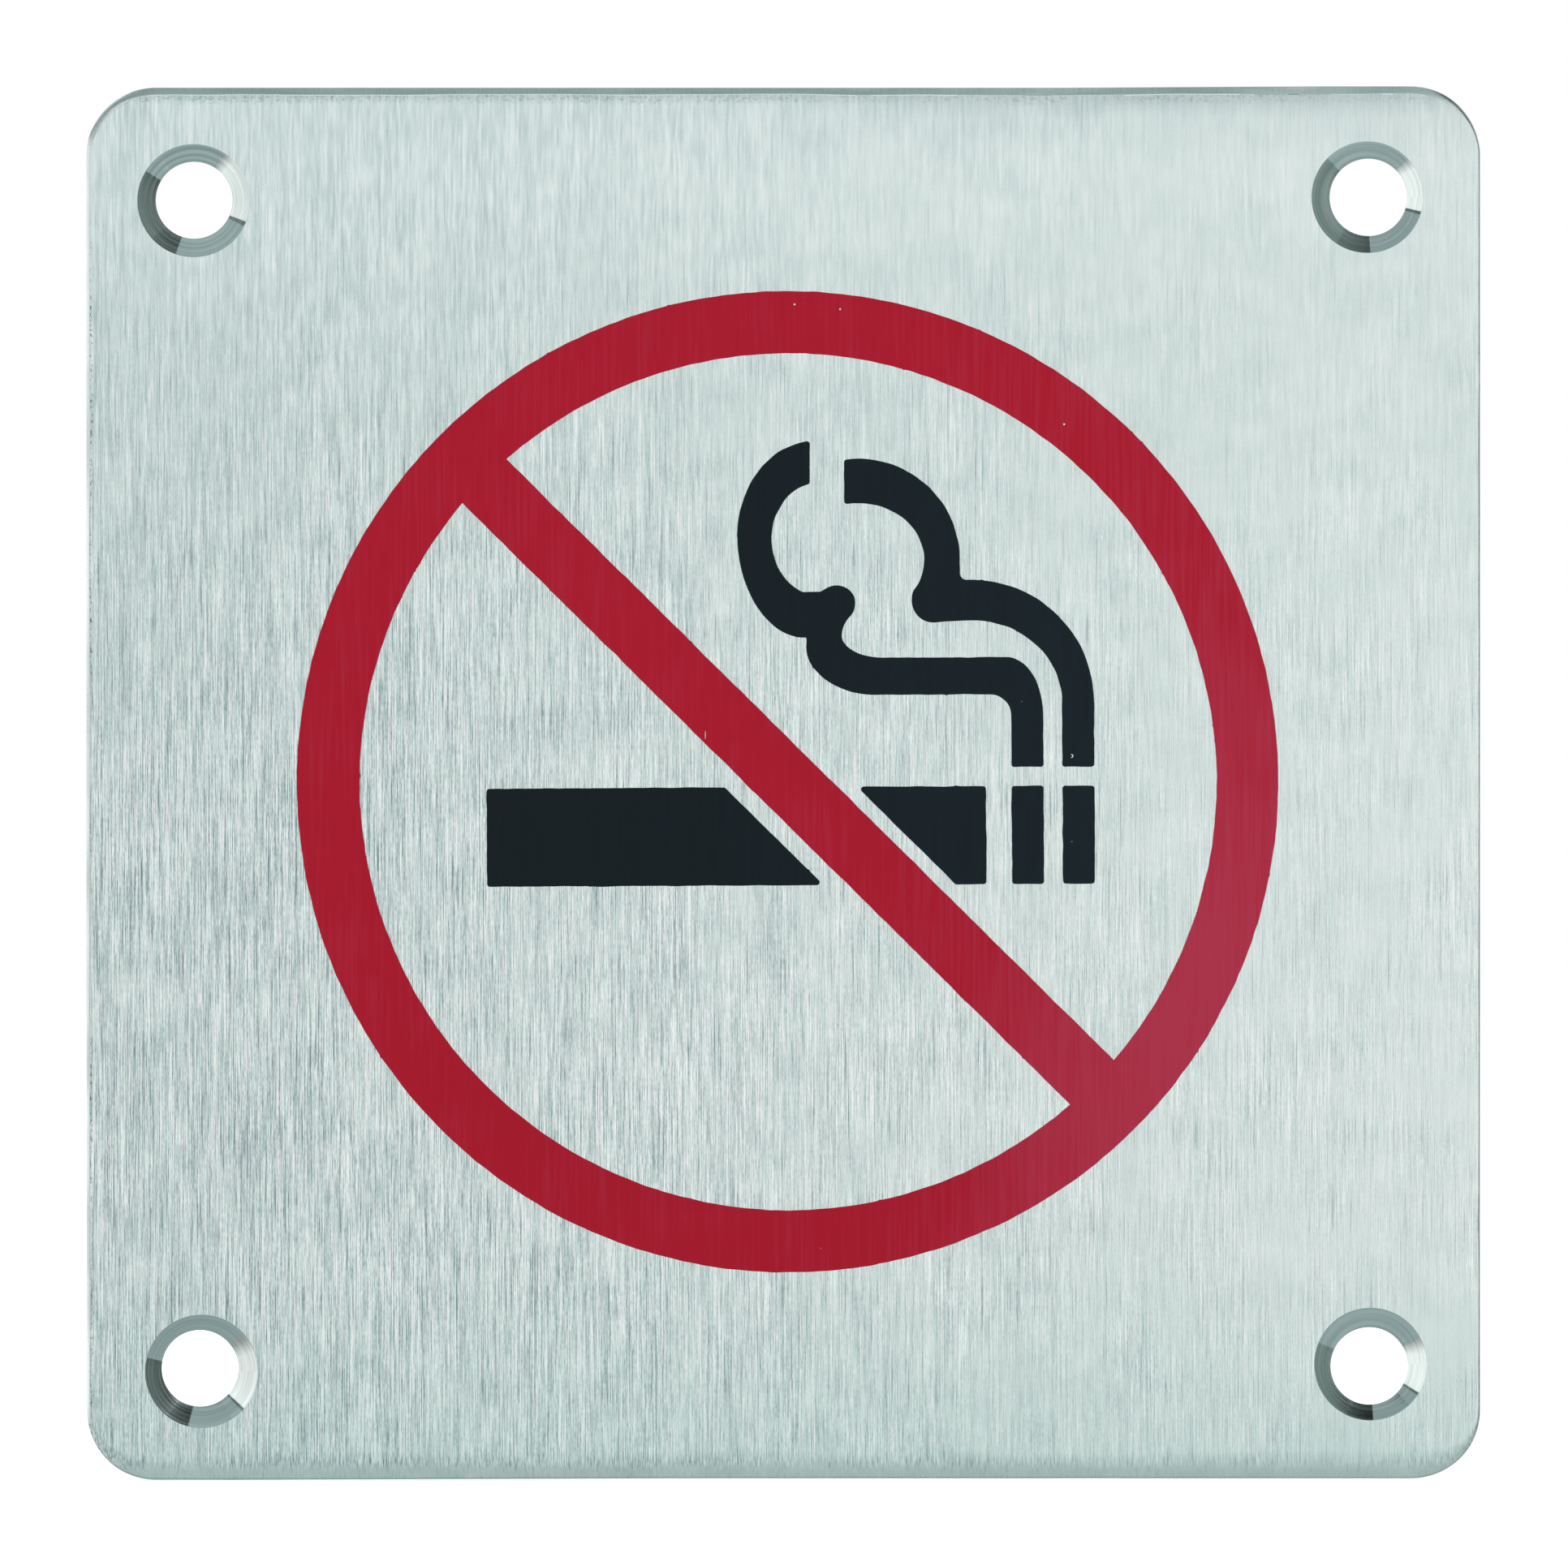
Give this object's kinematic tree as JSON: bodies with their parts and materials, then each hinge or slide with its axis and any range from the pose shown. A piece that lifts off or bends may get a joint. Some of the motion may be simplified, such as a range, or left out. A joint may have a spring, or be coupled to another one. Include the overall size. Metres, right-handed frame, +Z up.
{
  "type": "no smoking sign",
  "caption": "Square brushed stainless sign plate with countersunk corner screw holes, printed with a red ring and slash over a smoking cigarette.",
  "frame": {"origin": "middle of the plate's back face, where it lies on the wall or door", "axes": "+Z up, +X to the reader's right, -Y out of the printed face towards the reader"},
  "size_m": [0.1, 0.0016, 0.1],
  "materials": {
    "brushed_stainless": "brushed, grain upright",
    "red_ink": "satin screen-print ink",
    "black_ink": "satin screen-print ink"
  },
  "bodies": {
    "root": {"plate": "brushed_stainless", "ring_and_slash": "red_ink", "cigarette": "black_ink", "smoke": "black_ink"}
  },
  "joints": []
}
